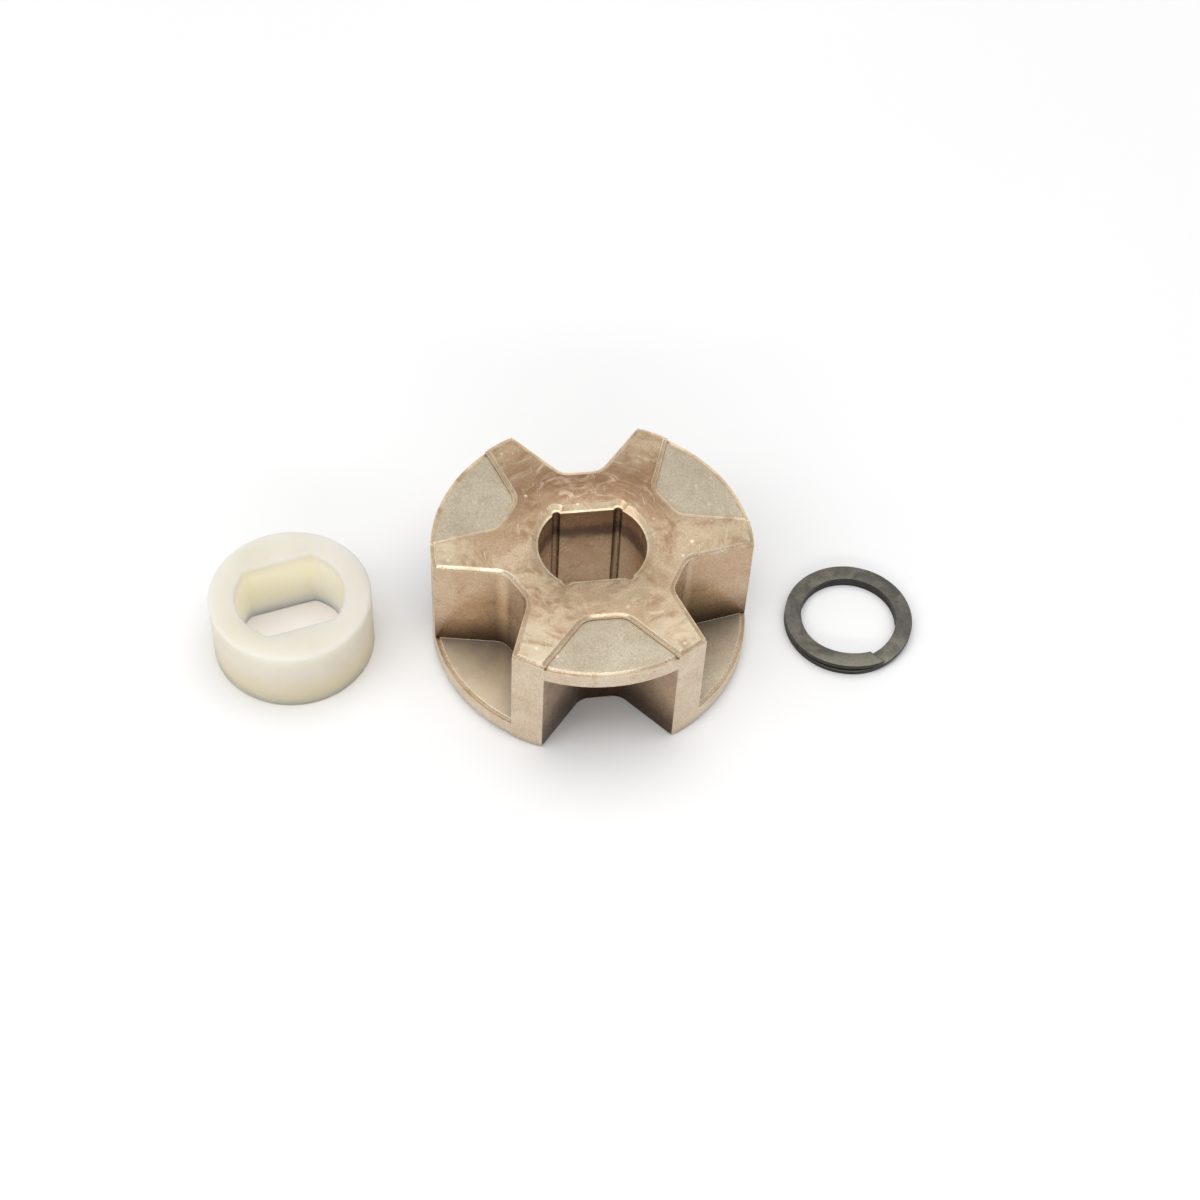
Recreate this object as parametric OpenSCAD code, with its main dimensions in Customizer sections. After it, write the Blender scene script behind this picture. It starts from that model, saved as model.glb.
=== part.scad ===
// Chain drive sprocket set: a six-tooth sintered sprocket, a nylon spacer bush
// and a two-turn spiral retaining ring, laid side by side on a bench.
// Millimetres, +Z up. The origin is on the sprocket's axis, level with its bottom face.

/* [Sprocket body] */
// Outer diameter over the tooth tips
tip_d = 30; // [28:0.1:34]
// Height over the two star faces
body_h = 12.7; // [11:0.1:15]
// Number of teeth, even so that closed and open gaps take turns
teeth = 6; // [6, 8]
// Width of a tooth tip, as an angle each side of its centre
tip_half_angle = 6; // [5:0.5:7]
// Distance of the gap floor from the axis
root_r = 8.73; // [8.4:0.01:9.2]
// Half width of the gap floor up to its sharp corner
root_half_w = 1.84; // [1.6:0.01:2]
// Rounding between the gap floor and the tooth flanks
root_round = 1.74; // [1:0.01:1.8]

/* [Edges left by the press punches] */
// Height of the bevel round the star faces
star_bevel_h = 0.22; // [0.1:0.01:0.3]
// Width of the bevel round the star faces
star_bevel_w = 0.22; // [0.1:0.01:0.3]
// Width of the flat ledge outside the bevel of the star faces
star_ledge_w = 0.24; // [0.1:0.01:0.3]
// Height of the bevel along the rim of the plates
plate_bevel_h = 0.17; // [0.1:0.01:0.25]
// Width of the bevel along the rim of the plates
plate_bevel_w = 0.18; // [0.1:0.01:0.25]
// Width of the flat ledge along the rim of the plates
plate_ledge_w = 0.3; // [0.1:0.01:0.4]

/* [Plates in the gaps] */
// Depth of the plate faces below the star faces
plate_step = 0.35; // [0.25:0.01:0.6]
// Thickness of a plate, face to face
plate_t = 1.76; // [1.4:0.01:3]

/* [Sprocket bore] */
// Diameter of the round part of the double-D bore
bore_d = 10.1; // [9.8:0.05:10.6]
// Distance between the two flats of the bore
bore_flats = 8.1; // [7.8:0.05:8.6]
// Radius of the relief groove at each corner of the bore
relief_r = 0.4; // [0.3:0.05:0.5]
// Distance of the relief groove centres from the axis
relief_centre_r = 4.86; // [4.7:0.01:5]
// Depth of the bevel round the bore mouth
mouth_bevel_h = 0.4; // [0.2:0.05:0.5]
// Width of the bevel round the bore mouth
mouth_bevel_w = 0.4; // [0.2:0.05:0.5]
// Width of the ledge inside the bevel of the bore mouth
mouth_ledge_w = 0.22; // [0.1:0.01:0.3]

/* [Spacer] */
// Outer diameter of the spacer
spacer_d = 15.2; // [14:0.1:16]
// Height of the spacer
spacer_h = 7.35; // [6:0.05:9]
// Diameter of the round part of the spacer bore
spacer_bore_d = 10.2; // [9.8:0.1:10.6]
// Distance between the two flats of the spacer bore
spacer_flats = 8; // [7.6:0.1:8.6]
// Rounding of the corners of the spacer bore
spacer_corner_r = 0.8; // [0.5:0.1:1]
// Rounding of the spacer's outer rims
spacer_rim_r = 0.3; // [0.2:0.05:0.5]
// Position of the spacer along X
spacer_x = -28.2; // [-34:0.1:-26]
// Position of the spacer along Y
spacer_y = 0.9; // [-4:0.1:4]
// Turn of the spacer about its own axis
spacer_turn = 12.8; // [0:0.1:90]

/* [Retaining ring] */
// Outer diameter of the ring
ring_d = 12.36; // [11.8:0.02:13]
// Inner diameter of the ring
ring_bore_d = 9.2; // [8.8:0.02:9.6]
// Thickness of one turn of the wire
turn_t = 0.5; // [0.4:0.01:0.6]
// Gap between the two turns
turn_gap = 0.08; // [0.04:0.01:0.1]
// Direction of the upper end of the wire, seen from the ring's axis
ring_end_angle = -71; // [-180:1:180]
// Angle from the upper end of the wire on to its lower end, over which the ring is one turn thick
crossing_angle = 65; // [55:1:70]
// Distance from the cut at the upper end to the foot of the climb
climb_start = 0.2; // [0.15:0.05:0.5]
// Distance from the head of the climb to the cut at the lower end
climb_end = 0.9; // [0.8:0.05:1.2]
// Skew of the cuts at the ends of the wire
end_skew = 24; // [0:1:30]
// Position of the ring along X
ring_x = 25.1; // [23:0.1:30]
// Position of the ring along Y
ring_y = -2.35; // [-6:0.05:6]

/* [Colours] */
// Sintered steel
steel_colour = [0.62, 0.53, 0.42];
// Natural nylon
nylon_colour = [0.93, 0.90, 0.82];
// Blackened spring steel
black_colour = [0.25, 0.25, 0.23];

/* [Hidden] */
$fn = 128;
// How far a cutting shape runs past the face it opens
past = 1;
// How far the bars that slope an edge reach back into the gap
bar_back = 0.5;
// How far the cut between the turns runs into the crossing, as an angle
lap_angle = 0.5;
tip_r = tip_d / 2;
pitch_angle = 360 / teeth;
// Direction of a tooth flank, measured from the middle line of its gap
gap_edge_angle = pitch_angle / 2 - tip_half_angle;
flank_rise = tip_r * sin(gap_edge_angle) - root_half_w;
flank_run = tip_r * cos(gap_edge_angle) - root_r;
flank_angle = atan2(flank_rise, flank_run);
root_tangent = root_round * tan((90 - flank_angle) / 2);
round_centre_x = root_r + root_round;
round_centre_y = root_half_w - root_tangent;
gap_reach = tip_r + 3 * past;
// How far a plate is let into the star round its gap
plate_seat = 0.6;
relief_angle = asin(bore_flats / bore_d);
ring_t = 2 * turn_t + turn_gap;
ring_r = ring_d / 2;
ring_bore_r = ring_bore_d / 2;
ring_mid_r = (ring_r + ring_bore_r) / 2;
crossing_half = ring_mid_r * sin(crossing_angle / 2);
// Half length of the bars that cut across the wire
bar_half = ring_mid_r / 2;

// Outline of one gap on the +X side, its walls moved out by `grow`
module gap_outline(grow) {
  c = [round_centre_x, round_centre_y];
  r = root_round + grow;
  n = [-sin(flank_angle), cos(flank_angle)];
  t = [c[0] + r * n[0], c[1] + r * n[1]];
  reach = (gap_reach - t[0]) / cos(flank_angle);
  far_y = t[1] + reach * sin(flank_angle);
  polygon([
    [c[0] - r, -c[1]],
    [c[0] - r, c[1]],
    t,
    [gap_reach, far_y],
    [gap_reach, -far_y],
    [t[0], -t[1]]
  ]);
  for (side = [-1, 1])
    translate([c[0], side * c[1]])
      circle(r = r);
}

// Bevelled part of a gap at a star face: slopes along the floor, the corners and the flanks.
// Drawn upwards from z = 0, where the walls stand back by `ledge`.
module gap_bevel(ledge, bevel_w, bevel_h) {
  c = [round_centre_x, round_centre_y];
  r = root_round + ledge;
  top = bevel_h + past;
  linear_extrude(top)
    gap_outline(ledge);
  for (side = [-1, 1])
    translate([c[0], side * c[1], 0]) {
      cylinder(r1 = r, r2 = r + bevel_w * top / bevel_h, h = top);
      rotate([0, 0, side * flank_angle])
        mirror([0, side < 0 ? 1 : 0, 0])
          translate([0, r - bar_back, 0])
            flank_slope(bevel_w, bevel_h);
    }
  translate([c[0] - r + bar_back, c[1], 0])
    rotate([90, 0, 0])
      linear_extrude(2 * c[1])
        slope_profile(bevel_w, bevel_h);
}

// Cross-section of a sloping edge, the slope facing +X and rising along +Y
module slope_profile(bevel_w, bevel_h) {
  top = bevel_h + past;
  polygon([[0, 0], [-bar_back, 0], [-bar_back - bevel_w * top / bevel_h, top], [0, top]]);
}

// Sloping edge along a tooth flank, from the corner rounding out past the tooth tip
module flank_slope(bevel_w, bevel_h) {
  rotate([90, 0, 90])
    linear_extrude(gap_reach - root_r)
      mirror([1, 0, 0])
        slope_profile(bevel_w, bevel_h);
}

// Disc with the same bevel and ledge round both of its rims
module rim_disc(z0, z1, ledge, bevel_w, bevel_h) {
  inset = ledge + bevel_w;
  rotate_extrude()
    polygon([
      [0, z0],
      [tip_r - inset, z0],
      [tip_r - ledge, z0 + bevel_h],
      [tip_r, z0 + bevel_h],
      [tip_r, z1 - bevel_h],
      [tip_r - ledge, z1 - bevel_h],
      [tip_r - inset, z1],
      [0, z1]
    ]);
}

// One gap cut right through the star, with its ledges and bevels at both faces
module gap_cut() {
  translate([0, 0, -past])
    linear_extrude(body_h + 2 * past)
      gap_outline(0);
  translate([0, 0, body_h - star_bevel_h])
    gap_bevel(star_ledge_w, star_bevel_w, star_bevel_h);
  translate([0, 0, star_bevel_h])
    mirror([0, 0, 1])
      gap_bevel(star_ledge_w, star_bevel_w, star_bevel_h);
}

// Disc with every gap cut through, before the plates close some of them
module star() {
  difference() {
    rim_disc(0, body_h, star_ledge_w, star_bevel_w, star_bevel_h);
    for (k = [0 : teeth - 1])
      rotate([0, 0, pitch_angle * (k + 0.5)])
        gap_cut();
  }
}

// Plate closing one end of a gap on the +X side, let a little into the star
module plate(z0) {
  intersection() {
    rim_disc(z0, z0 + plate_t, plate_ledge_w, plate_bevel_w, plate_bevel_h);
    translate([0, 0, z0 - past])
      linear_extrude(plate_t + 2 * past)
        gap_outline(plate_seat);
  }
}

// Double-D section, its walls moved out by `grow`
module bore_outline(grow) {
  intersection() {
    circle(r = bore_d / 2 + grow);
    square([2 * bore_d, bore_flats + 2 * grow], center = true);
  }
}

// Widening of the bore at a mouth, drawn upwards from the ledge
module mouth_cut() {
  r = bore_d / 2 + mouth_ledge_w;
  half = bore_flats / 2 + mouth_ledge_w;
  top = mouth_bevel_h + past;
  spread = mouth_bevel_w * top / mouth_bevel_h;
  intersection() {
    cylinder(r1 = r, r2 = r + spread, h = top);
    rotate([90, 0, 90])
      translate([0, 0, -bore_d])
        linear_extrude(2 * bore_d)
          polygon([[-half, 0], [half, 0], [half + spread, top], [-half - spread, top]]);
  }
  at_reliefs()
    cylinder(r1 = relief_r + mouth_ledge_w, r2 = relief_r + mouth_ledge_w + spread, h = top);
}

// Places children at the four corners of the bore
module at_reliefs() {
  for (a = [relief_angle, 180 - relief_angle, 180 + relief_angle, -relief_angle])
    rotate([0, 0, a])
      translate([relief_centre_r, 0, 0])
        children();
}

// The bore with its corner grooves and both widened mouths
module bore_cut() {
  translate([0, 0, -past]) {
    linear_extrude(body_h + 2 * past)
      bore_outline(0);
    at_reliefs()
      cylinder(r = relief_r, h = body_h + 2 * past);
  }
  translate([0, 0, body_h - mouth_bevel_h])
    mouth_cut();
  translate([0, 0, mouth_bevel_h])
    mirror([0, 0, 1])
      mouth_cut();
}

// Teeth with a plate across each gap between them, at the top and at the bottom by turns
module sprocket() {
  color(steel_colour)
    difference() {
      union() {
        star();
        for (k = [0 : 2 : teeth - 1]) {
          rotate([0, 0, pitch_angle * (k + 0.5)])
            plate(body_h - plate_step - plate_t);
          rotate([0, 0, pitch_angle * (k + 1.5)])
            plate(plate_step);
        }
      }
      bore_cut();
    }
}

// Double-D section with rounded corners. The corner circles touch the flats and reach
// `corner_reach` past the round part, so the outlines cross cleanly.
module spacer_bore_outline() {
  corner_reach = 0.02;
  big_r = spacer_bore_d / 2;
  r = spacer_corner_r;
  half = spacer_flats / 2;
  centre_r = big_r - r + corner_reach;
  cy = half - r;
  cx = sqrt(centre_r * centre_r - cy * cy);
  sy = cy * big_r / centre_r;
  intersection() {
    circle(r = big_r);
    square([2 * spacer_bore_d, 2 * sy], center = true);
  }
  polygon([[-cx, half], [cx, half], [cx, -half], [-cx, -half]]);
  for (sign_x = [-1, 1])
    for (sign_y = [-1, 1])
      translate([sign_x * cx, sign_y * cy])
        circle(r = r);
}

// Plain bush with rounded outer rims and a double-D bore
module spacer() {
  r = spacer_d / 2;
  q = spacer_rim_r;
  color(nylon_colour)
    translate([spacer_x, spacer_y, 0])
      rotate([0, 0, spacer_turn])
        difference() {
          union() {
            cylinder(r = r - q, h = spacer_h);
            translate([0, 0, q])
              cylinder(r = r, h = spacer_h - 2 * q);
            for (z = [q, spacer_h - q])
              translate([0, 0, z])
                rotate_extrude()
                  translate([r - q, 0])
                    circle(r = q);
          }
          translate([0, 0, -past])
            linear_extrude(spacer_h + 2 * past)
              spacer_bore_outline();
        }
}

// Point on the skewed cut at `angle`, at distance `s` outwards from the middle of the wire
function on_cut(angle, s) =
  ring_mid_r * [cos(angle), sin(angle)] + s * [cos(angle + end_skew), sin(angle + end_skew)];

// Outline of the crossing, from the cut at the upper end to the cut at the lower end, less `trim` degrees at both
module crossing_outline(trim) {
  upper = ring_end_angle + trim;
  lower = ring_end_angle + crossing_angle - trim;
  polygon([on_cut(upper, -bar_half), on_cut(upper, bar_half), on_cut(lower, bar_half), on_cut(lower, -bar_half)]);
}

// Bar of the given section lying across the wire at the middle of the crossing, ended by the two cuts
module across_wire(section) {
  intersection() {
    translate([0, 0, -past])
      linear_extrude(ring_t + 3 * past)
        crossing_outline(0);
    rotate([0, 0, ring_end_angle + crossing_angle / 2])
      translate([ring_mid_r - bar_half, 0, 0])
        rotate([90, 0, 90])
          linear_extrude(2 * bar_half)
            polygon(section);
  }
}

// Gap between the turns, everywhere but at the crossing
module turn_gap_cut() {
  difference() {
    translate([0, 0, turn_t])
      cylinder(r = ring_r + past, h = turn_gap);
    linear_extrude(ring_t)
      crossing_outline(lap_angle);
  }
}

// One flat wire wound into two turns: the lower turn climbs to the upper one along the crossing
module retaining_ring() {
  foot = climb_start - crossing_half;
  head = crossing_half - climb_end;
  color(black_colour)
    translate([ring_x, ring_y, 0])
      difference() {
        cylinder(r = ring_r, h = ring_t);
        translate([0, 0, -past])
          cylinder(r = ring_bore_r, h = ring_t + 2 * past);
        turn_gap_cut();
        across_wire([
          [-ring_r, turn_t],
          [foot, turn_t],
          [head, ring_t],
          [head, ring_t + past],
          [-ring_r, ring_t + past]
        ]);
        across_wire([
          [foot, -past],
          [ring_r, -past],
          [ring_r, turn_t + turn_gap],
          [head, turn_t + turn_gap],
          [foot, 0]
        ]);
      }
}

sprocket();
spacer();
retaining_ring();
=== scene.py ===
"""Looks of the chain drive sprocket set: a sintered six-tooth sprocket, a nylon spacer bush and a
two-turn spiral retaining ring, laid side by side on a pale bench.

The meshes are made in millimetres about each piece's own axis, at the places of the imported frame."""

import math

import bmesh
import bpy
from mathutils import Matrix, Vector


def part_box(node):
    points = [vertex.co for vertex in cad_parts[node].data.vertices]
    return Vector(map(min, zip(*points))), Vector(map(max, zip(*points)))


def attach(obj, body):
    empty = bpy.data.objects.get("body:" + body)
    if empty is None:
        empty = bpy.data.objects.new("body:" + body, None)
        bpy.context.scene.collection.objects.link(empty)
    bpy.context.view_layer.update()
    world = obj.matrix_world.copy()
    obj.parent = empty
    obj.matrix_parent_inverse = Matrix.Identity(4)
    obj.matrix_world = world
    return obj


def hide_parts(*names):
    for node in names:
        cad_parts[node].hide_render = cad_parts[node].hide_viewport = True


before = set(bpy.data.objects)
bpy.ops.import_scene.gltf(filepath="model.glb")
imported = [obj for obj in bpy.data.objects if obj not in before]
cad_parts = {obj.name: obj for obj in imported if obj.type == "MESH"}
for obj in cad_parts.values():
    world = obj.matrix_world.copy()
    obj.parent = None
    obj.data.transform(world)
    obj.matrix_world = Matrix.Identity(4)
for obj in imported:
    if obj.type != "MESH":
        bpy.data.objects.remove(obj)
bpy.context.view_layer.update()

MM = 0.001


def box_mm(node):
    """Lowest and highest corner of a CAD node, in millimetres."""
    low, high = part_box(node)
    return [v / MM for v in low], [v / MM for v in high]


# ---------------------------------------------------------------- dimensions, in millimetres

SPROCKET_LOW, SPROCKET_HIGH = box_mm("sprocket")
TIP_R = SPROCKET_HIGH[0]
BODY_H = SPROCKET_HIGH[2]
TEETH = 6
PITCH = math.tau / TEETH
TIP_HALF_ANGLE = math.radians(6)
ROOT_R, ROOT_HALF_W, ROOT_ROUND = 8.73, 1.84, 1.74
STAR_BEVEL_H, STAR_BEVEL_W, STAR_LEDGE_W = 0.22, 0.22, 0.24
PLATE_BEVEL_H, PLATE_BEVEL_W, PLATE_LEDGE_W = 0.17, 0.18, 0.3
PLATE_STEP, PLATE_T = 0.35, 1.76
BORE_R, BORE_HALF_FLATS = 5.05, 4.05
RELIEF_R, RELIEF_CENTRE_R = 0.4, 4.86
MOUTH_BEVEL, MOUTH_LEDGE_W = 0.4, 0.22

SPACER_LOW, SPACER_HIGH = box_mm("spacer")
SPACER_R = (SPACER_HIGH[0] - SPACER_LOW[0]) / 2
SPACER_H = SPACER_HIGH[2]
SPACER_BORE_R, SPACER_HALF_FLATS, SPACER_CORNER_R = 5.1, 4.0, 0.8
SPACER_RIM_R, SPACER_MOUTH_R = 0.3, 0.26
SPACER_TURN = math.radians(12.8)  # Its flats stand at this angle to the sprocket's

RING_LOW, RING_HIGH = box_mm("retaining_ring")
RING_R = (RING_HIGH[1] - RING_LOW[1]) / 2
RING_BORE_R = 4.6
RING_T = RING_HIGH[2]
TURN_T = 0.5  # Thickness of the wire
WIRE_EDGE_R = 0.07
RING_END_ANGLE = math.radians(-71)  # Where the free end of the upper turn is cut
CROSSING_ANGLE = math.radians(65)  # Stretch that is one turn thick
CLIMB_FROM, CLIMB_TO = math.radians(-98), math.radians(-22)
# The upper turn stands off the lower one by LIFT, and its free end settles halfway back
LIFT = 0.28
LIFT_FROM, LIFT_OVER = math.radians(-165), math.radians(60)
SETTLE_OVER = math.radians(26)
END_SKEW, SKEW_OVER = math.radians(24), math.radians(20)


def centre_of(low, high):
    return Vector(((low[0] + high[0]) / 2, (low[1] + high[1]) / 2, 0))


SPACER_AT = centre_of(SPACER_LOW, SPACER_HIGH)
RING_AT = centre_of(RING_LOW, RING_HIGH)

# ---------------------------------------------------------------- mesh helpers


def new_object(name, bm, scale=MM):
    """The bmesh as an object in metres, smooth shaded."""
    bmesh.ops.recalc_face_normals(bm, faces=bm.faces)
    bmesh.ops.scale(bm, vec=(scale, scale, scale), verts=bm.verts)
    mesh = bpy.data.meshes.new(name)
    bm.to_mesh(mesh)
    bm.free()
    mesh.shade_smooth()
    ob = bpy.data.objects.new(name, mesh)
    bpy.context.scene.collection.objects.link(ob)
    return ob


def turned(loop, angle):
    c, s = math.cos(angle), math.sin(angle)
    return [(x * c - y * s, x * s + y * c) for x, y in loop]


def arc(cx, cy, r, start, end, steps):
    """Points along an arc, both ends included."""
    angles = [start + (end - start) * i / steps for i in range(steps + 1)]
    return [(cx + r * math.cos(a), cy + r * math.sin(a)) for a in angles]


def bridge(bm, a, b):
    """A band of faces between two loops of vertices."""
    for i in range(len(a)):
        j = (i + 1) % len(a)
        bm.faces.new((a[i], a[j], b[j], b[i]))


def add_loft(bm, layers):
    """Closed solid through loops of equal length. A layer is (outline, z) or a list of points."""
    rings = []
    for layer in layers:
        points = [(x, y, layer[1]) for x, y in layer[0]] if isinstance(layer, tuple) else layer
        rings.append([bm.verts.new(point) for point in points])
    for a, b in zip(rings, rings[1:]):
        bridge(bm, a, b)
    bm.faces.new(reversed(rings[0]))
    bm.faces.new(rings[-1])


def cut(target, name, solids):
    """Subtracts the lofts from target, a mesh object."""
    bm = bmesh.new()
    for layers in solids:
        add_loft(bm, layers)
    cutter = new_object(name, bm, scale=1)
    mod = target.modifiers.new(name, "BOOLEAN")
    mod.operation, mod.solver, mod.object = "DIFFERENCE", "EXACT", cutter
    mesh = bpy.data.meshes.new_from_object(target.evaluated_get(bpy.context.evaluated_depsgraph_get()))
    target.modifiers.clear()
    target.data = mesh
    bpy.data.objects.remove(cutter)


# ---------------------------------------------------------------- sprocket

# A flank leans by FLANK from its gap's middle line, and runs FLANK_OFFSET to the side of the axis.
GAP_EDGE = PITCH / 2 - TIP_HALF_ANGLE
FLANK = math.atan2(TIP_R * math.sin(GAP_EDGE) - ROOT_HALF_W, TIP_R * math.cos(GAP_EDGE) - ROOT_R)
FLANK_OFFSET = ROOT_HALF_W * math.cos(FLANK) - ROOT_R * math.sin(FLANK)
ROUND_X = ROOT_R + ROOT_ROUND
ROUND_Y = ROOT_HALF_W - ROOT_ROUND * math.tan((math.pi / 2 - FLANK) / 2)
STAR_INSET = STAR_LEDGE_W + STAR_BEVEL_W
OVER, RIM_OVER = 0.2, 0.15  # How far a cut runs past the face that it opens
REACH = TIP_R + 3  # How far out a gap's cut runs
DIP, LIP = 0.08, 0.05  # A ledge dips at the bevel's foot and rises to a lip at the wall
EDGE_ROUND = 0.035
EDGE_ANGLE, SHARP_ANGLE = math.radians(22), math.radians(14)  # Least turn of a rounded and of a sharp edge
FLAT_ANGLE = math.radians(0.2)  # Faces that turn less than this are joined
WELD = 0.0005


def gap_outline(grow, angle):
    """A gap between two teeth, its walls moved out by grow."""
    upper = arc(ROUND_X, ROUND_Y, ROOT_ROUND + grow, math.pi / 2 + FLANK, math.pi, 12)
    far_y = upper[0][1] + (REACH - upper[0][0]) * math.tan(FLANK)
    lower = [(x, -y) for x, y in reversed(upper)]
    return turned([(REACH, far_y), *upper, *lower, (REACH, -far_y)], angle)


def bore_outline(grow):
    """Double-D section with a relief groove at each corner, its walls moved out by grow."""
    r, half, groove = BORE_R + grow, BORE_HALF_FLATS + grow, RELIEF_R + grow
    corner = math.asin(BORE_HALF_FLATS / BORE_R)
    gx, gy = RELIEF_CENTRE_R * math.cos(corner), RELIEF_CENTRE_R * math.sin(corner)
    meet = corner - math.acos((r * r + RELIEF_CENTRE_R**2 - groove**2) / (2 * r * RELIEF_CENTRE_R))
    start = math.atan2(r * math.sin(meet) - gy, r * math.cos(meet) - gx)
    end = math.pi - math.asin((half - gy) / groove)
    side = arc(0, 0, r, 0, meet, 24)[:-1] + arc(gx, gy, groove, start, end, 16)
    right = [(x, -y) for x, y in reversed(side[1:])] + side
    return right + [(-x, -y) for x, y in right]


def star_walls(low_z, high_z, angle, low_open, high_open):
    """Layers of a gap cut, with a ledge and a bevel at each end that opens in a star face."""
    foot, lip = STAR_BEVEL_H + DIP, STAR_BEVEL_H - LIP
    wall = gap_outline(0, angle)
    ledge = gap_outline(STAR_LEDGE_W, angle)
    mouth = gap_outline(STAR_LEDGE_W + STAR_BEVEL_W * (foot + OVER) / foot, angle)
    layers = [(wall, lip if low_open else low_z), (wall, BODY_H - lip if high_open else high_z)]
    if low_open:
        layers = [(mouth, -OVER), (ledge, foot), *layers]
    if high_open:
        layers += [(ledge, BODY_H - foot), (mouth, BODY_H + OVER)]
    return layers


def rim_cut(face_z, up, angle, steps=64):
    """Ledge and bevel along the rim of a plate face at face_z, which looks up (1) or down (-1)."""
    foot, lip = PLATE_BEVEL_H + DIP, PLATE_BEVEL_H - LIP
    foot_r, outer_r = TIP_R - PLATE_LEDGE_W, TIP_R + RIM_OVER
    section = [
        (foot_r, -foot),
        (outer_r, -lip + RIM_OVER * (DIP + LIP) / PLATE_LEDGE_W),
        (outer_r, RIM_OVER),
        (foot_r - PLATE_BEVEL_W * (foot + RIM_OVER) / foot, RIM_OVER),
    ]
    layers = []
    for i in range(steps + 1):
        points = []
        for r, dz in section[::up]:
            a = angle + (2 * i / steps - 1) * (FLANK + math.asin(FLANK_OFFSET / r))
            points.append((r * math.cos(a), r * math.sin(a), face_z + up * dz))
        layers.append(points)
    return layers


def circle_loop(r, steps=360):
    """A circle whose points stay clear of the tooth corners, which lie on whole degrees."""
    angles = [math.tau * (i + 0.4) / steps for i in range(steps)]
    return [(r * math.cos(a), r * math.sin(a)) for a in angles]


def build_sprocket():
    """The pressed blank: a disc, cut by six gaps, six shallow recesses, twelve rims and the bore."""
    bm = bmesh.new()
    add_loft(bm, [
        (circle_loop(TIP_R - STAR_INSET), 0),
        (circle_loop(TIP_R - STAR_LEDGE_W), STAR_BEVEL_H + DIP),
        (circle_loop(TIP_R), STAR_BEVEL_H - LIP),
        (circle_loop(TIP_R), BODY_H - STAR_BEVEL_H + LIP),
        (circle_loop(TIP_R - STAR_LEDGE_W), BODY_H - STAR_BEVEL_H - DIP),
        (circle_loop(TIP_R - STAR_INSET), BODY_H),
    ])
    ob = new_object("sprocket_body", bm, scale=1)
    upper_face, upper_inner = BODY_H - PLATE_STEP, BODY_H - PLATE_STEP - PLATE_T
    lower_face, lower_inner = PLATE_STEP, PLATE_STEP + PLATE_T
    gaps, recesses, rims = [], [], []
    for k in range(TEETH):
        angle = PITCH * (k + 0.5)
        if k % 2 == 0:  # closed at the top
            gaps.append(star_walls(0, upper_inner, angle, True, False))
            recesses.append(star_walls(upper_face, 0, angle, False, True))
            rims += [rim_cut(upper_face, 1, angle), rim_cut(upper_inner, -1, angle)]
        else:  # closed at the bottom
            gaps.append(star_walls(lower_inner, 0, angle, False, True))
            recesses.append(star_walls(0, lower_face, angle, True, False))
            rims += [rim_cut(lower_face, -1, angle), rim_cut(lower_inner, 1, angle)]
    cut(ob, "gaps", gaps)
    cut(ob, "recesses", recesses)
    cut(ob, "rims", rims)
    mouth = MOUTH_LEDGE_W + MOUTH_BEVEL
    cut(ob, "bore", [[
        (bore_outline(mouth + OVER), -OVER),
        (bore_outline(MOUTH_LEDGE_W), MOUTH_BEVEL),
        (bore_outline(0), MOUTH_BEVEL + DIP),
        (bore_outline(0), BODY_H - MOUTH_BEVEL - DIP),
        (bore_outline(MOUTH_LEDGE_W), BODY_H - MOUTH_BEVEL),
        (bore_outline(mouth + OVER), BODY_H + OVER),
    ]])
    tidy_and_zone(ob)
    return ob


ZONES = ["star_face", "plate_face", "bevel", "ledge", "mouth", "wall", "rim", "bore"]
STAR_FACES = (0, BODY_H)
PLATE_FACES = (PLATE_STEP, PLATE_STEP + PLATE_T, BODY_H - PLATE_STEP, BODY_H - PLATE_STEP - PLATE_T)
# How much of a normal points up or down on a flat face, on a ledge and on a bevel, at the least
FLAT_Z, LEDGE_Z, BEVEL_Z = 0.98, 0.85, 0.2
SAME_HEIGHT = 0.02


def zone_of(normal, centre):
    """Which kind of pressed surface a face is."""
    r, tilt = math.hypot(centre.x, centre.y), abs(normal.z)

    def lies_at(heights):
        return min(abs(centre.z - z) for z in heights) < SAME_HEIGHT

    if r < BORE_R + 1 and BEVEL_Z < tilt < FLAT_Z:
        return "mouth"
    if tilt > FLAT_Z and lies_at(STAR_FACES):
        return "star_face"
    if tilt > FLAT_Z and lies_at(PLATE_FACES):
        return "plate_face"
    if tilt > LEDGE_Z:
        return "ledge"
    if tilt > BEVEL_Z:
        return "bevel"
    if r < BORE_R + 0.5:
        return "bore"
    return "rim" if r > TIP_R - 0.05 else "wall"


def tidy_and_zone(ob):
    """Joins coplanar faces, gives each face its zone's material slot and scales the mesh to metres."""
    bm = bmesh.new()
    bm.from_mesh(ob.data)
    bmesh.ops.remove_doubles(bm, verts=bm.verts, dist=WELD)
    bmesh.ops.dissolve_degenerate(bm, edges=bm.edges, dist=WELD)
    bmesh.ops.dissolve_limit(bm, angle_limit=FLAT_ANGLE, verts=bm.verts, edges=bm.edges)
    bmesh.ops.triangulate(bm, faces=[f for f in bm.faces if len(f.verts) > 4])
    bmesh.ops.recalc_face_normals(bm, faces=bm.faces)
    for face in bm.faces:
        face.material_index = ZONES.index(zone_of(face.normal, face.calc_center_median()))
        face.smooth = True
    bmesh.ops.scale(bm, vec=(MM, MM, MM), verts=bm.verts)
    bm.to_mesh(ob.data)
    bm.free()


# ---------------------------------------------------------------- spacer


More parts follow.
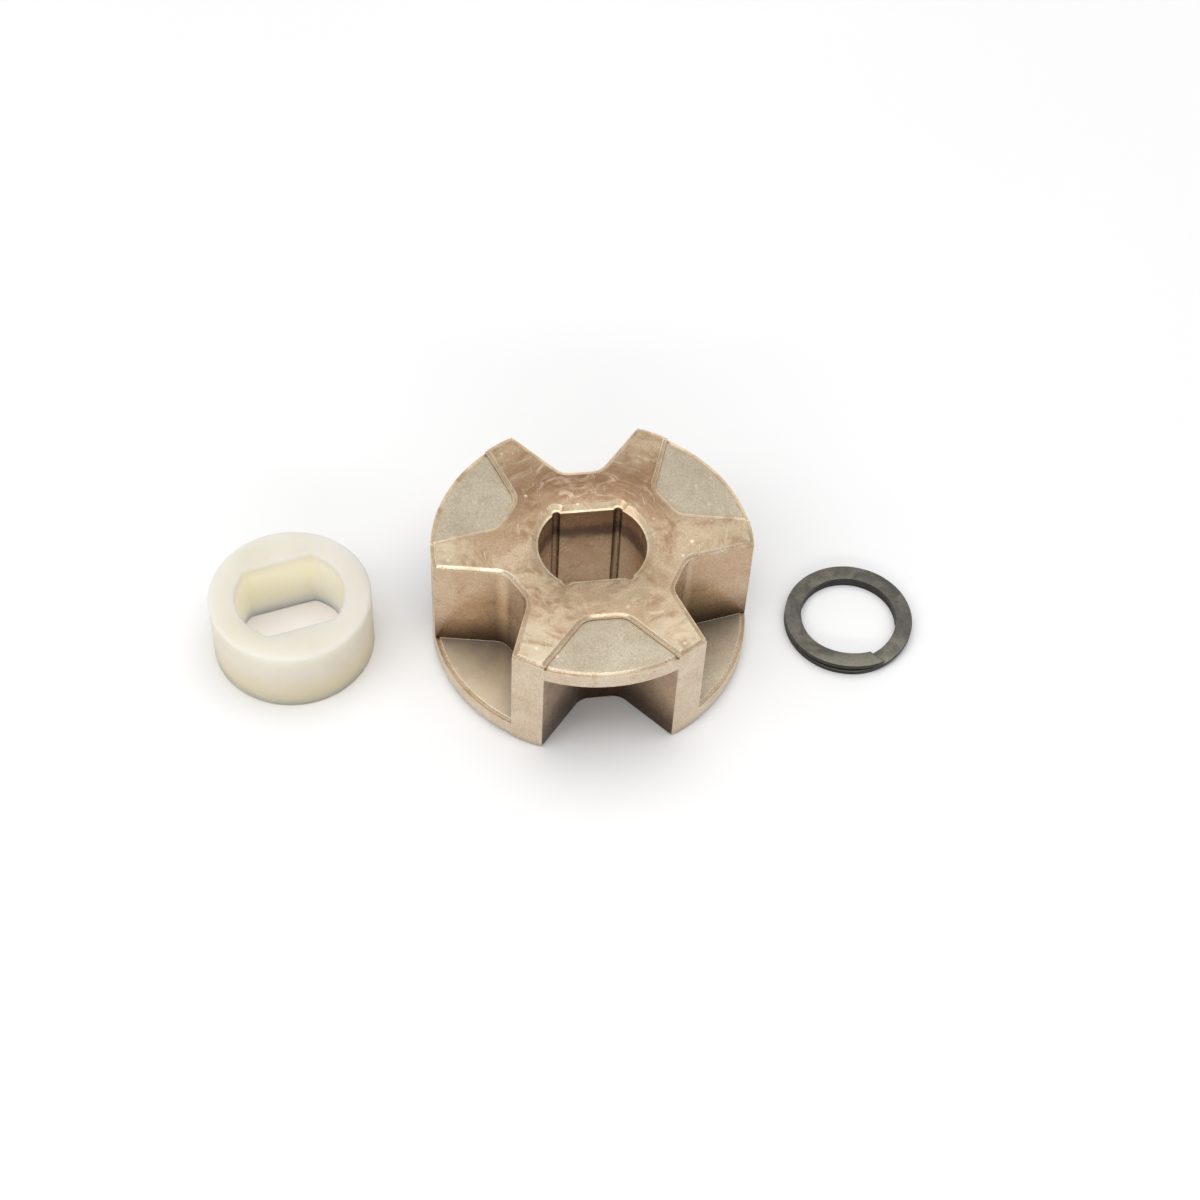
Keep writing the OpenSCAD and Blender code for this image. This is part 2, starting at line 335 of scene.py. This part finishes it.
def spacer_bore_radius(angle):
    """Distance from the spacer's axis to its bore wall in that direction, corners rounded."""
    q = SPACER_CORNER_R
    cy = SPACER_HALF_FLATS - q
    cr = SPACER_BORE_R - q
    cx = math.sqrt(cr * cr - cy * cy)
    a = abs((angle + math.pi / 2) % math.pi - math.pi / 2)
    if a < math.atan2(cy, cx):
        return SPACER_BORE_R
    if a > math.atan2(SPACER_HALF_FLATS, cx):
        return SPACER_HALF_FLATS / math.sin(a)
    along = cx * math.cos(a) + cy * math.sin(a)
    return along + math.sqrt(along * along - cx * cx - cy * cy + q * q)


def build_spacer(columns=288):
    """The wall's section swept round: outer rim roundings, flat ends and softened bore mouths."""
    q, m, h = SPACER_RIM_R, SPACER_MOUTH_R, SPACER_H
    quarter = [math.pi / 2 * i / 5 for i in range(6)]
    outer = [(0.0, q + (h - 2 * q) * i / 14) for i in range(15)]
    outer += [(-q * (1 - math.cos(t)), h - q + q * math.sin(t)) for t in quarter[1:]]
    outer = [(-q * (1 - math.cos(t)), q - q * math.sin(t)) for t in reversed(quarter[1:])] + outer
    inner = [(m * (1 - math.sin(t)), h - m + m * math.cos(t)) for t in quarter]
    inner += [(0.0, h - m - (h - 2 * m) * i / 14) for i in range(1, 14)]
    inner += [(m * (1 - math.cos(t)), m - m * math.sin(t)) for t in quarter]
    bm = bmesh.new()
    rows = []
    for c in range(columns):
        a = math.tau * c / columns
        bore = spacer_bore_radius(a)
        ends = [(0.2, h), (0.4, h), (0.6, h), (0.8, h)]
        points = [(SPACER_R + dr, z) for dr, z in outer]
        low_r, high_r = SPACER_R - q, bore + m
        points += [(low_r + (high_r - low_r) * t, z) for t, z in ends]
        points += [(bore + dr, z) for dr, z in inner]
        points += [(high_r + (low_r - high_r) * t, 0.0) for t, _ in ends]
        turn = a + SPACER_TURN
        rows.append([bm.verts.new((r * math.cos(turn), r * math.sin(turn), z)) for r, z in points])
    for a, b in zip(rows, rows[1:] + rows[:1]):
        bridge(bm, a, b)
    bmesh.ops.translate(bm, vec=SPACER_AT, verts=bm.verts)
    return new_object("spacer_bush", bm)


# ---------------------------------------------------------------- retaining ring


def smooth(t):
    """0 to 1 with an easy start and stop, held beyond both."""
    t = min(max(t, 0.0), 1.0)
    return t * t * (3 - 2 * t)


def wire_height(angle):
    """Height of the wire's underside, at an angle that grows from the lower end to the upper end."""
    climb = (RING_T - TURN_T) * smooth((angle - CLIMB_FROM) / (CLIMB_TO - CLIMB_FROM))
    lift = LIFT * smooth((angle - LIFT_FROM - math.tau) / LIFT_OVER)
    settle = 0.5 * LIFT * smooth((angle - RING_END_ANGLE - math.tau) / SETTLE_OVER + 1)
    return climb + lift - settle


def build_ring(steps=480):
    """One flat wire swept round nearly twice, both ends cut on the skew."""
    start = RING_END_ANGLE + CROSSING_ANGLE - math.tau
    travel = 2 * math.tau - CROSSING_ANGLE
    half_w, half_t, q = (RING_R - RING_BORE_R) / 2, TURN_T / 2, WIRE_EDGE_R
    mid_r = (RING_R + RING_BORE_R) / 2
    section = []  # A rectangle with rounded corners, counter-clockwise
    for sx, sz, first in ((1, 1, 0), (-1, 1, 90), (-1, -1, 180), (1, -1, 270)):
        for i in range(5):
            t = math.radians(first + 22.5 * i)
            section.append((sx * (half_w - q) + q * math.cos(t), sz * (half_t - q) + q * math.sin(t)))
    layers = []
    for s in range(steps + 1):
        t = travel * s / steps
        near_end = max(0.0, 1 - min(t, travel - t) / SKEW_OVER)
        points = []
        for x, dz in section:
            r = mid_r + x
            a = start + t + near_end * math.tan(END_SKEW) * x / mid_r
            points.append((r * math.cos(a), r * math.sin(a), half_t + dz + wire_height(a)))
        layers.append(points)
    bm = bmesh.new()
    add_loft(bm, layers)
    bmesh.ops.translate(bm, vec=RING_AT, verts=bm.verts)
    return new_object("spiral_ring", bm)


# ---------------------------------------------------------------- materials


class Shader:
    """A material made of nodes: a principled shader, object coordinates, and what builds on them."""

    def __init__(self, name):
        self.material = bpy.data.materials.new(name)
        self.material.use_nodes = True
        self.tree = self.material.node_tree
        self.tree.nodes.clear()
        self.output = self.add("ShaderNodeOutputMaterial")
        self.bsdf = self.add("ShaderNodeBsdfPrincipled")
        self.link(self.bsdf.outputs[0], self.output.inputs["Surface"])
        self.coords = self.add("ShaderNodeTexCoord").outputs["Object"]
        place = self.add("ShaderNodeSeparateXYZ")
        self.link(self.coords, place.inputs[0])
        self.x, self.y, self.z = place.outputs

    def add(self, kind, **settings):
        node = self.tree.nodes.new(kind)
        for key, value in settings.items():
            setattr(node, key, value)
        return node

    def link(self, source, target):
        self.tree.links.new(source, target)

    def value(self, target, source):
        """Sets an input to a number or colour, or links it."""
        if isinstance(source, bpy.types.NodeSocket):
            self.link(source, target)
        else:
            target.default_value = source

    def noise(self, scale, detail, roughness, vector=None, distortion=0.0):
        node = self.add("ShaderNodeTexNoise")
        self.link(vector or self.coords, node.inputs["Vector"])
        node.inputs["Scale"].default_value = scale
        node.inputs["Detail"].default_value = detail
        node.inputs["Roughness"].default_value = roughness
        node.inputs["Distortion"].default_value = distortion
        return node.outputs["Fac"]

    def stretched(self, scale, turn):
        """Object coordinates scaled by axis and turned, for marks with a direction."""
        node = self.add("ShaderNodeMapping")
        self.link(self.coords, node.inputs["Vector"])
        node.inputs["Rotation"].default_value = turn
        node.inputs["Scale"].default_value = scale
        return node.outputs["Vector"]

    def polar(self, centre=(0, 0, 0)):
        """Distance from the upright axis through centre, and the direction away from it."""
        away = self.add("ShaderNodeVectorMath", operation="SUBTRACT")
        self.link(self.coords, away.inputs[0])
        away.inputs[1].default_value = centre
        flat = self.add("ShaderNodeVectorMath", operation="MULTIPLY")
        self.link(away.outputs[0], flat.inputs[0])
        flat.inputs[1].default_value = (1, 1, 0)
        radius = self.add("ShaderNodeVectorMath", operation="LENGTH")
        self.link(flat.outputs[0], radius.inputs[0])
        heading = self.add("ShaderNodeVectorMath", operation="NORMALIZE")
        self.link(flat.outputs[0], heading.inputs[0])
        return radius.outputs["Value"], heading.outputs[0]

    def arcs(self, radius, heading, bands_per_metre, along, shift):
        """Coordinates that draw noise out in arcs round the axis. A greater along makes shorter arcs."""
        out = self.add("ShaderNodeCombineXYZ")
        out.inputs[0].default_value = shift
        self.link(self.math("MULTIPLY", radius, bands_per_metre), out.inputs[2])
        node = self.add("ShaderNodeVectorMath", operation="MULTIPLY_ADD")
        self.link(heading, node.inputs[0])
        node.inputs[1].default_value = (along, along, 0)
        self.link(out.outputs[0], node.inputs[2])
        return node.outputs[0]

    def cells(self, scale):
        node = self.add("ShaderNodeTexVoronoi")
        self.link(self.coords, node.inputs["Vector"])
        node.inputs["Scale"].default_value = scale
        return node

    def ramp(self, source, low, high, out_low=0.0, out_high=1.0):
        """Source from low..high mapped smoothly to out_low..out_high."""
        node = self.add("ShaderNodeMapRange", interpolation_type="SMOOTHSTEP")
        self.value(node.inputs["Value"], source)
        for key, v in (("From Min", low), ("From Max", high), ("To Min", out_low), ("To Max", out_high)):
            self.value(node.inputs[key], v)
        return node.outputs["Result"]

    def math(self, operation, a, b):
        node = self.add("ShaderNodeMath", operation=operation)
        self.value(node.inputs[0], a)
        self.value(node.inputs[1], b)
        return node.outputs[0]

    def mix(self, factor, a, b, blend="MIX"):
        node = self.add("ShaderNodeMix", data_type="RGBA", blend_type=blend)
        self.value(node.inputs[0], factor)
        self.value(node.inputs[6], a)
        self.value(node.inputs[7], b)
        return node.outputs[2]

    def bump(self, height, distance_mm, strength, normal=None):
        node = self.add("ShaderNodeBump")
        node.inputs["Strength"].default_value = strength
        node.inputs["Distance"].default_value = distance_mm * MM
        self.link(height, node.inputs["Height"])
        if normal is not None:
            self.link(normal, node.inputs["Normal"])
        return node.outputs["Normal"]

    def edges(self, width_mm):
        """1 on an edge, falling to 0 on the flats beside it."""
        rounded = self.add("ShaderNodeBevel", samples=4)
        rounded.inputs["Radius"].default_value = width_mm * MM
        straight = self.add("ShaderNodeNewGeometry").outputs["True Normal"]
        dot = self.add("ShaderNodeVectorMath", operation="DOT_PRODUCT")
        self.link(rounded.outputs[0], dot.inputs[0])
        self.link(straight, dot.inputs[1])
        return self.ramp(dot.outputs["Value"], 0.98, 0.8)

    def crevice(self, reach_mm):
        """1 in the open and towards 0 deep in a corner."""
        node = self.add("ShaderNodeAmbientOcclusion", samples=8)
        node.inputs["Distance"].default_value = reach_mm * MM
        return node.outputs["AO"]


def rgb(r, g, b):
    """A linear colour from 0..255 display values."""
    def linear(v):
        v /= 255
        return v / 12.92 if v <= 0.04045 else ((v + 0.055) / 1.055) ** 2.4
    return (linear(r), linear(g), linear(b), 1.0)


# Oxide tones of the sintered steel, and dark tones for the shade painted into its crevices
BROWN = rgb(142, 104, 72)
UMBER = rgb(96, 70, 48)
CREVICE_SHADE = rgb(44, 33, 26)
CREAM = rgb(246, 234, 212)


def sintered(name, tone, pale, roughness, *, patches=0.5, crevice_mm=1.0, soot=0.6, clear_at=1.0,
             grime=CREVICE_SHADE, specks=0.4, grain=0.5, metallic=0.8):
    """Sintered steel: oxide patches, powder grain, pores, bright specks, and painted shade where it is
    hidden.

    Painted shade, as strong as soot and in the tone grime, fills what other surfaces hide within crevice_mm,
    and ends where clear_at of the view is open. A zone adds its own marks to the shader's colour before
    finish_sintered."""
    s = Shader(name)
    clouds = s.ramp(s.noise(230, 5, 0.6, distortion=0.8), 0.36, 0.66)
    colour = s.mix(clouds, tone, pale)
    stains = s.ramp(s.noise(420, 6, 0.62, distortion=1.6), 0.52, 0.74)
    colour = s.mix(s.math("MULTIPLY", stains, patches), colour, BROWN)
    s.grain = s.noise(5200, 5, 0.7)
    colour = s.mix(grain, colour, s.ramp(s.grain, 0.25, 0.75, 0.27, 0.74), "OVERLAY")
    s.pores = s.ramp(s.cells(3000).outputs["Distance"], 0.08, 0.22)
    colour = s.mix(s.ramp(s.pores, 0, 1, 0.3, 0.0), colour, UMBER)
    cells = s.cells(1300)
    picked = s.math("MULTIPLY", s.ramp(cells.outputs["Color"], 0.76, 0.9), s.ramp(clouds, 0.2, 0.9, 0.4, 1.0))
    dots = s.math("MULTIPLY", s.ramp(cells.outputs["Distance"], 0.36, 0.12), picked)
    s.marks = s.math("MULTIPLY", dots, specks)
    # Noise that picks where the edges show wear and a painted highlight
    s.worn = s.ramp(s.noise(900, 4, 0.6), 0.35, 0.65, 0.15, 0.75)
    s.colour, s.rough = colour, roughness
    s.grime, s.soot, s.reach, s.clear_at = grime, soot, crevice_mm, clear_at
    s.bsdf.inputs["Metallic"].default_value = metallic
    return s


def finish_sintered(s):
    """Bright edges, partly wear and partly a painted highlight, and marks; painted shade in the crevices;
    then roughness and the powder's relief.
    """
    # Cream on the edges: partly edge wear, partly a painted highlight
    colour = s.mix(s.math("MULTIPLY", s.edges(0.12), s.worn), s.colour, CREAM)
    colour = s.mix(s.marks, colour, CREAM)
    # Painted shade: darker where other surfaces hide the face
    hidden = s.ramp(s.crevice(s.reach), s.clear_at - 0.7, s.clear_at, s.soot, 0.0)
    colour = s.mix(hidden, colour, s.grime)
    s.link(colour, s.bsdf.inputs["Base Color"])
    rough = s.ramp(s.noise(900, 5, 0.6), 0.3, 0.7, s.rough - 0.06, s.rough + 0.08)
    s.link(s.math("SUBTRACT", rough, s.math("MULTIPLY", s.marks, 0.1)), s.bsdf.inputs["Roughness"])
    height = s.math("ADD", s.math("MULTIPLY", s.grain, 0.6), s.math("MULTIPLY", s.pores, 0.5))
    broad = s.bump(s.noise(520, 3, 0.5), 0.04, 0.2)
    s.link(s.bump(height, 0.012, 0.6, broad), s.bsdf.inputs["Normal"])
    return s.material


def sintered_star_face():
    """Bronze-brown, with painted shade darker towards the back and round the bore, and a painted sheen paler
    on the front teeth and the tips.
    """
    s = sintered("sintered_star_face", rgb(180, 153, 122), rgb(203, 181, 152), 0.42,
                 patches=0.6, crevice_mm=0.6, soot=0.3, specks=0.9)
    radius, heading = s.polar()
    swirl = s.noise(300, 5, 0.62, distortion=2.2)
    # Painted sheen: paler towards the front and on the front tips
    front_sheen = s.ramp(s.y, 1 * MM, -12 * MM, 0.0, 0.22)
    tips = s.math("MULTIPLY", s.ramp(radius, 9 * MM, 13.5 * MM, 0.0, 0.5), s.ramp(s.y, 8 * MM, -1 * MM))
    pale = s.math("MULTIPLY", s.math("ADD", front_sheen, tips), s.ramp(swirl, 0.32, 0.6, 0.25, 1.15))
    s.colour = s.mix(pale, s.colour, rgb(216, 202, 176))
    # Painted shade: darker brown towards the back, most near the bore
    back = s.math("MULTIPLY", s.ramp(s.y, 0, 8 * MM), s.ramp(radius, 14 * MM, 7.5 * MM, 0.1, 1.0))
    back_shade = s.math("MULTIPLY", back, s.ramp(swirl, 0.64, 0.36, 0.7, 1.0))
    s.colour = s.mix(back_shade, s.colour, rgb(136, 102, 76))
    # Oxide drawn out in arcs round the bore, dark and light, over faint rubbing marks
    dark = s.noise(1.0, 7, 0.66, s.arcs(radius, heading, 420, 2.2, 0), 1.3)
    s.colour = s.mix(s.ramp(dark, 0.47, 0.68, 0.0, 0.7), s.colour, rgb(148, 114, 80))
    light = s.noise(1.0, 7, 0.66, s.arcs(radius, heading, 560, 2.6, 9), 1.6)
    s.colour = s.mix(s.ramp(light, 0.52, 0.72, 0.0, 0.6), s.colour, rgb(222, 205, 176))
    rubbing = s.noise(1.0, 3, 0.6, s.arcs(radius, heading, 2600, 2.5, 4))
    s.colour = s.mix(s.ramp(rubbing, 0.5, 0.75, 0.0, 0.25), s.colour, rgb(222, 202, 170))
    # Short scratches in three directions
    for turn, pick in ((0.5, 0.69), (2.0, 0.71), (2.75, 0.70)):
        lines = s.noise(1.0, 3, 0.6, s.stretched((5200, 420, 420), (0, 0, turn)))
        s.marks = s.math("MAXIMUM", s.marks, s.ramp(lines, pick, pick + 0.06, 0.0, 0.55))
    return finish_sintered(s)


def sintered_wall():
    """Flanks and roots of the gaps: burnished by the die, with painted shade low down inside and in the
    crevices.
    """
    s = sintered("sintered_wall", rgb(194, 166, 137), rgb(204, 180, 153), 0.25,
                 patches=0.45, crevice_mm=8.0, soot=0.75, clear_at=0.8, specks=0.1, grain=0.4, metallic=0.92)
    # Painted shade: darker low down in the gaps and where the plates and teeth hide the wall
    wavy = s.math("ADD", s.z, s.math("MULTIPLY", s.noise(300, 4, 0.6), 2 * MM))
    low_inside = s.math("MULTIPLY", s.ramp(wavy, 8 * MM, 2.5 * MM), s.ramp(s.crevice(9), 0.95, 0.65))
    s.colour = s.mix(s.math("MULTIPLY", low_inside, 0.95), s.colour, rgb(84, 60, 43))
    return finish_sintered(s)


def sintered_bore():
    """Die-burnished walls, paler low down as a painted reflection of the lit floor and darker towards the
    top, with a brown band below the upper mouth and corner grooves painted near black as shade.
    """
    # Painted shade turns the corner grooves near black
    s = sintered("sintered_bore", rgb(228, 197, 161), rgb(234, 210, 180), 0.3,
                 patches=0.35, crevice_mm=1.0, soot=1.0, clear_at=1.05, grime=rgb(9, 7, 6), specks=0.0)
    wavy = s.math("ADD", s.z, s.math("MULTIPLY", s.noise(420, 4, 0.6), 1.6 * MM))
    # Painted reflection: paler low down, darker towards the top
    s.colour = s.mix(s.ramp(wavy, 7.5 * MM, 11.5 * MM, 0.0, 0.6), s.colour, rgb(118, 86, 62))
    band = s.math("MULTIPLY", s.ramp(wavy, 9.0 * MM, 10.0 * MM), s.ramp(wavy, 11.6 * MM, 10.6 * MM))
    s.colour = s.mix(s.math("MULTIPLY", band, 0.7), s.colour, rgb(88, 74, 72))
    return finish_sintered(s)


def sintered_plate_face():
    """Grey-beige plates with painted shade where the teeth hide them; the left one at the bottom is painted
    paler, a painted light.
    """
    s = sintered("sintered_plate_face", rgb(182, 169, 147), rgb(194, 182, 161), 0.46,
                 patches=0.2, crevice_mm=7.0, soot=0.65, clear_at=0.88, specks=0.5, grain=0.42)
    # Painted light: the lower left plate is painted paler
    left = s.ramp(s.x, -5 * MM, -9 * MM)
    low = s.ramp(s.z, 5 * MM, 3 * MM, 0.0, 0.6)
    s.colour = s.mix(s.math("MULTIPLY", left, low), s.colour, rgb(230, 214, 190))
    return finish_sintered(s)


def sprocket_materials():
    """One material for each zone, in the order of ZONES."""
    # In every zone the darkening towards hidden corners, ledges and bevel feet is painted shade
    looks = {
        "star_face": sintered_star_face(),
        "plate_face": sintered_plate_face(),
        "bevel": finish_sintered(sintered(
            "sintered_bevel", rgb(226, 206, 176), rgb(242, 228, 204), 0.27,
            patches=0.3, crevice_mm=0.3, soot=0.8, grime=UMBER, specks=0.0, grain=0.3, metallic=0.6)),
        "mouth": finish_sintered(sintered(
            "sintered_mouth", rgb(208, 182, 147), rgb(236, 216, 184), 0.3,
            patches=0.5, crevice_mm=0.4, soot=0.7, grime=UMBER, specks=0.7, metallic=0.5)),
        "ledge": finish_sintered(sintered(
            "sintered_ledge", rgb(184, 157, 126), rgb(214, 194, 164), 0.4,
            patches=0.5, crevice_mm=0.3, soot=0.85, clear_at=0.92, grime=UMBER, specks=0.35, grain=0.35,
            metallic=0.35)),
        "wall": sintered_wall(),
        "rim": finish_sintered(sintered(
            "sintered_rim", rgb(210, 190, 165), rgb(218, 202, 181), 0.42,
            patches=0.25, crevice_mm=1.0, soot=0.4, specks=0.2)),
        "bore": sintered_bore(),
    }
    return [looks[z] for z in ZONES]


def nylon():
    """Natural nylon: cream, waxy, light bleeding through it, with faint moulding marks and a few specks."""
    s = Shader("natural_nylon")
    base = s.mix(s.ramp(s.noise(180, 3, 0.5), 0.35, 0.7), rgb(216, 212, 202), rgb(211, 206, 194))
    radius, _ = s.polar(SPACER_AT * MM)
    # Painted light: the bore is painted paler and warmer for light bleeding through the wall, and the outside
    # painted warmer and darker towards the foot as painted shade
    deep = s.ramp(s.z, SPACER_H * MM, (SPACER_H - 1.6) * MM)
    inside = s.math("MULTIPLY", s.ramp(radius, (SPACER_BORE_R + 0.5) * MM, (SPACER_BORE_R + 0.1) * MM), deep)
    base = s.mix(inside, base, rgb(252, 241, 222))
    skin = s.ramp(radius, (SPACER_R - 0.7) * MM, (SPACER_R - 0.3) * MM)
    outside = s.math("MULTIPLY", skin, s.ramp(s.z, 5 * MM, 0.4 * MM))
    base = s.mix(s.math("MULTIPLY", outside, 0.8), base, rgb(214, 198, 158))
    streaks = s.noise(1.0, 3, 0.6, s.stretched((2600, 2600, 60), (0, 0, 0)))
    base = s.mix(s.ramp(streaks, 0.5, 0.75, 0.0, 0.1), base, rgb(206, 196, 168))
    cells = s.cells(420)
    picked = s.ramp(cells.outputs["Color"], 0.86, 0.92, 0.0, 0.8)
    dust = s.math("MULTIPLY", s.ramp(cells.outputs["Distance"], 0.1, 0.05), picked)
    s.link(s.mix(dust, base, rgb(126, 104, 70)), s.bsdf.inputs["Base Color"])
    s.bsdf.inputs["Subsurface Weight"].default_value = 1.0
    s.bsdf.inputs["Subsurface Radius"].default_value = (1.0, 0.85, 0.55)
    s.bsdf.inputs["Subsurface Scale"].default_value = 6.5 * MM
    s.bsdf.inputs["Specular IOR Level"].default_value = 0.4
    s.link(s.ramp(s.noise(700, 4, 0.6), 0.3, 0.7, 0.5, 0.64), s.bsdf.inputs["Roughness"])
    broad = s.bump(s.noise(240, 2, 0.5), 0.05, 0.3)
    s.link(s.bump(s.noise(3800, 4, 0.6), 0.006, 0.6, broad), s.bsdf.inputs["Normal"])
    return s.material


def black_oxide():
    """Blackened spring steel: dark grey-green with cloudy oxide and fine grain, a painted sheen at the front
    and painted shade on the wire's sides and between the turns.
    """
    s = Shader("blackened_spring_steel")
    cloud = s.ramp(s.noise(480, 5, 0.6, distortion=0.8), 0.35, 0.68)
    colour = s.mix(cloud, rgb(78, 77, 71), rgb(112, 107, 95))
    # Painted sheen: paler towards the front
    front_sheen = s.ramp(s.y, (RING_AT.y - 3.6) * MM, (RING_AT.y - 5.6) * MM, 0.0, 0.45)
    colour = s.mix(front_sheen, colour, rgb(144, 138, 123))
    grain = s.noise(6000, 5, 0.7)
    colour = s.mix(0.65, colour, s.ramp(grain, 0.25, 0.75, 0.3, 0.72), "OVERLAY")
    # Painted shade: darker where the wire faces sideways
    facing = s.add("ShaderNodeSeparateXYZ")
    s.link(s.add("ShaderNodeTexCoord").outputs["Normal"], facing.inputs[0])
    edge = s.ramp(s.math("ABSOLUTE", facing.outputs["Z"], 0), 0.3, 0.9, 0.95, 0.0)
    colour = s.mix(edge, colour, rgb(36, 33, 30))
    # Painted shade: near black between the turns
    colour = s.mix(s.ramp(s.crevice(0.6), 0.3, 0.95, 0.9, 0.0), colour, rgb(22, 20, 18))
    s.link(colour, s.bsdf.inputs["Base Color"])
    s.bsdf.inputs["Metallic"].default_value = 0.35
    s.link(s.ramp(s.noise(1200, 4, 0.6), 0.3, 0.7, 0.42, 0.58), s.bsdf.inputs["Roughness"])
    s.link(s.bump(grain, 0.008, 0.6), s.bsdf.inputs["Normal"])
    return s.material


def pale_floor():
    """Matt and nearly white, a little uneven."""
    s = Shader("pale_floor")
    s.link(s.mix(s.ramp(s.noise(9, 3, 0.5), 0.3, 0.7), (0.88, 0.88, 0.88, 1), (0.9, 0.9, 0.9, 1)),
           s.bsdf.inputs["Base Color"])
    s.bsdf.inputs["Roughness"].default_value = 0.9
    s.bsdf.inputs["Specular IOR Level"].default_value = 0.1
    return s.material


# ---------------------------------------------------------------- pieces on their bodies


def soften_edges(ob):
    """Rounds the sharp edges a little, and keeps flats flat and arcs smooth in shading."""
    bevel = ob.modifiers.new("soft_edges", "BEVEL")
    bevel.width, bevel.segments = EDGE_ROUND * MM, 2
    bevel.limit_method, bevel.angle_limit = "ANGLE", EDGE_ANGLE
    bevel.use_clamp_overlap = False
    mesh = bpy.data.meshes.new_from_object(ob.evaluated_get(bpy.context.evaluated_depsgraph_get()))
    ob.modifiers.clear()
    ob.data = mesh
    for vertex in mesh.vertices:  # No corner may stand proud of the star faces
        vertex.co.z = min(max(vertex.co.z, 0.0), BODY_H * MM)
    mesh.set_sharp_from_angle(angle=SHARP_ANGLE)


sprocket = build_sprocket()
for material in sprocket_materials():
    sprocket.data.materials.append(material)
soften_edges(sprocket)

spacer = build_spacer()
spacer.data.materials.append(nylon())

ring = build_ring()
ring.data.materials.append(black_oxide())

for piece, node, body, finish in (
    (sprocket, "sprocket", "sprocket_body", "sintered_steel"),
    (spacer, "spacer", "spacer_body", "natural_nylon"),
    (ring, "retaining_ring", "ring_body", "blackened_spring_steel"),
):
    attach(piece, body)
    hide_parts(node)

# ---------------------------------------------------------------- floor, light and camera


def add_floor():
    bpy.ops.mesh.primitive_plane_add(size=6, location=(0, 0, 0))
    floor = bpy.context.object
    floor.name = "floor"
    floor.data.materials.append(pale_floor())


def softbox(name, place, size, power):
    """A panel of the given width and height, turned to face the sprocket."""
    light = bpy.data.lights.new(name, "AREA")
    light.shape, light.energy = "RECTANGLE", power
    light.size, light.size_y = size
    ob = bpy.data.objects.new(name, light)
    ob.location = place
    ob.rotation_euler = (-Vector(place)).to_track_quat("-Z", "Y").to_euler()
    bpy.context.scene.collection.objects.link(ob)


def studio_world():
    """Even grey light, stronger from above."""
    world = bpy.data.worlds.new("studio")
    world.use_nodes = True
    sky = world.node_tree
    direction = sky.nodes.new("ShaderNodeTexCoord")
    height = sky.nodes.new("ShaderNodeSeparateXYZ")
    rise = sky.nodes.new("ShaderNodeMapRange")
    background = sky.nodes["Background"]
    sky.links.new(direction.outputs["Generated"], height.inputs[0])
    sky.links.new(height.outputs["Z"], rise.inputs["Value"])
    rise.inputs["To Min"].default_value = 0.25
    rise.inputs["To Max"].default_value = 0.55
    sky.links.new(rise.outputs["Result"], background.inputs["Strength"])
    background.inputs["Color"].default_value = (1, 1, 1, 1)
    bpy.context.scene.world = world


# The camera looks down at the sprocket from the front, turned and rolled a little.
CAMERA_TURN = math.radians(-10.12)
CAMERA_ELEVATION = math.radians(52.64)
CAMERA_ROLL = math.radians(3.486)
CAMERA_DISTANCE = 15.094 * TIP_R * MM
CAMERA_AIM = Vector((0.0658 * TIP_R, 0.1923 * TIP_R, STAR_BEVEL_H)) * MM
CAMERA_LENS = 69.72


def add_camera():
    turn = Matrix.Rotation(CAMERA_TURN, 3, "Z")
    back = turn @ Vector((0, -math.cos(CAMERA_ELEVATION), math.sin(CAMERA_ELEVATION)))
    right = turn @ Vector((1, 0, 0))
    up = back.cross(right)
    rolled_right = right * math.cos(CAMERA_ROLL) + up * math.sin(CAMERA_ROLL)
    rolled_up = up * math.cos(CAMERA_ROLL) - right * math.sin(CAMERA_ROLL)
    facing = Matrix((rolled_right, rolled_up, back)).transposed().to_4x4()
    camera = bpy.data.objects.new("camera", bpy.data.cameras.new("camera"))
    camera.data.lens, camera.data.sensor_width = CAMERA_LENS, 36
    camera.data.clip_start, camera.data.clip_end = 0.01, 20
    camera.matrix_world = Matrix.Translation(turn @ CAMERA_AIM + back * CAMERA_DISTANCE) @ facing
    bpy.context.scene.collection.objects.link(camera)
    bpy.context.scene.camera = camera


add_floor()
softbox("top_light", (0.0, 0.05, 0.60), (0.6, 0.6), 2.15)
softbox("back_light", (0.1, 0.40, 0.56), (0.5, 0.5), 0.06)
softbox("front_light", (-0.12, -0.60, 0.29), (0.7, 0.08), 1.0)
softbox("left_light", (-0.48, -0.16, 0.48), (0.4, 0.4), 0.9)
softbox("right_light", (0.46, -0.02, 0.54), (0.4, 0.4), 0.35)
studio_world()
add_camera()
bpy.context.scene.view_settings.view_transform = "Standard"
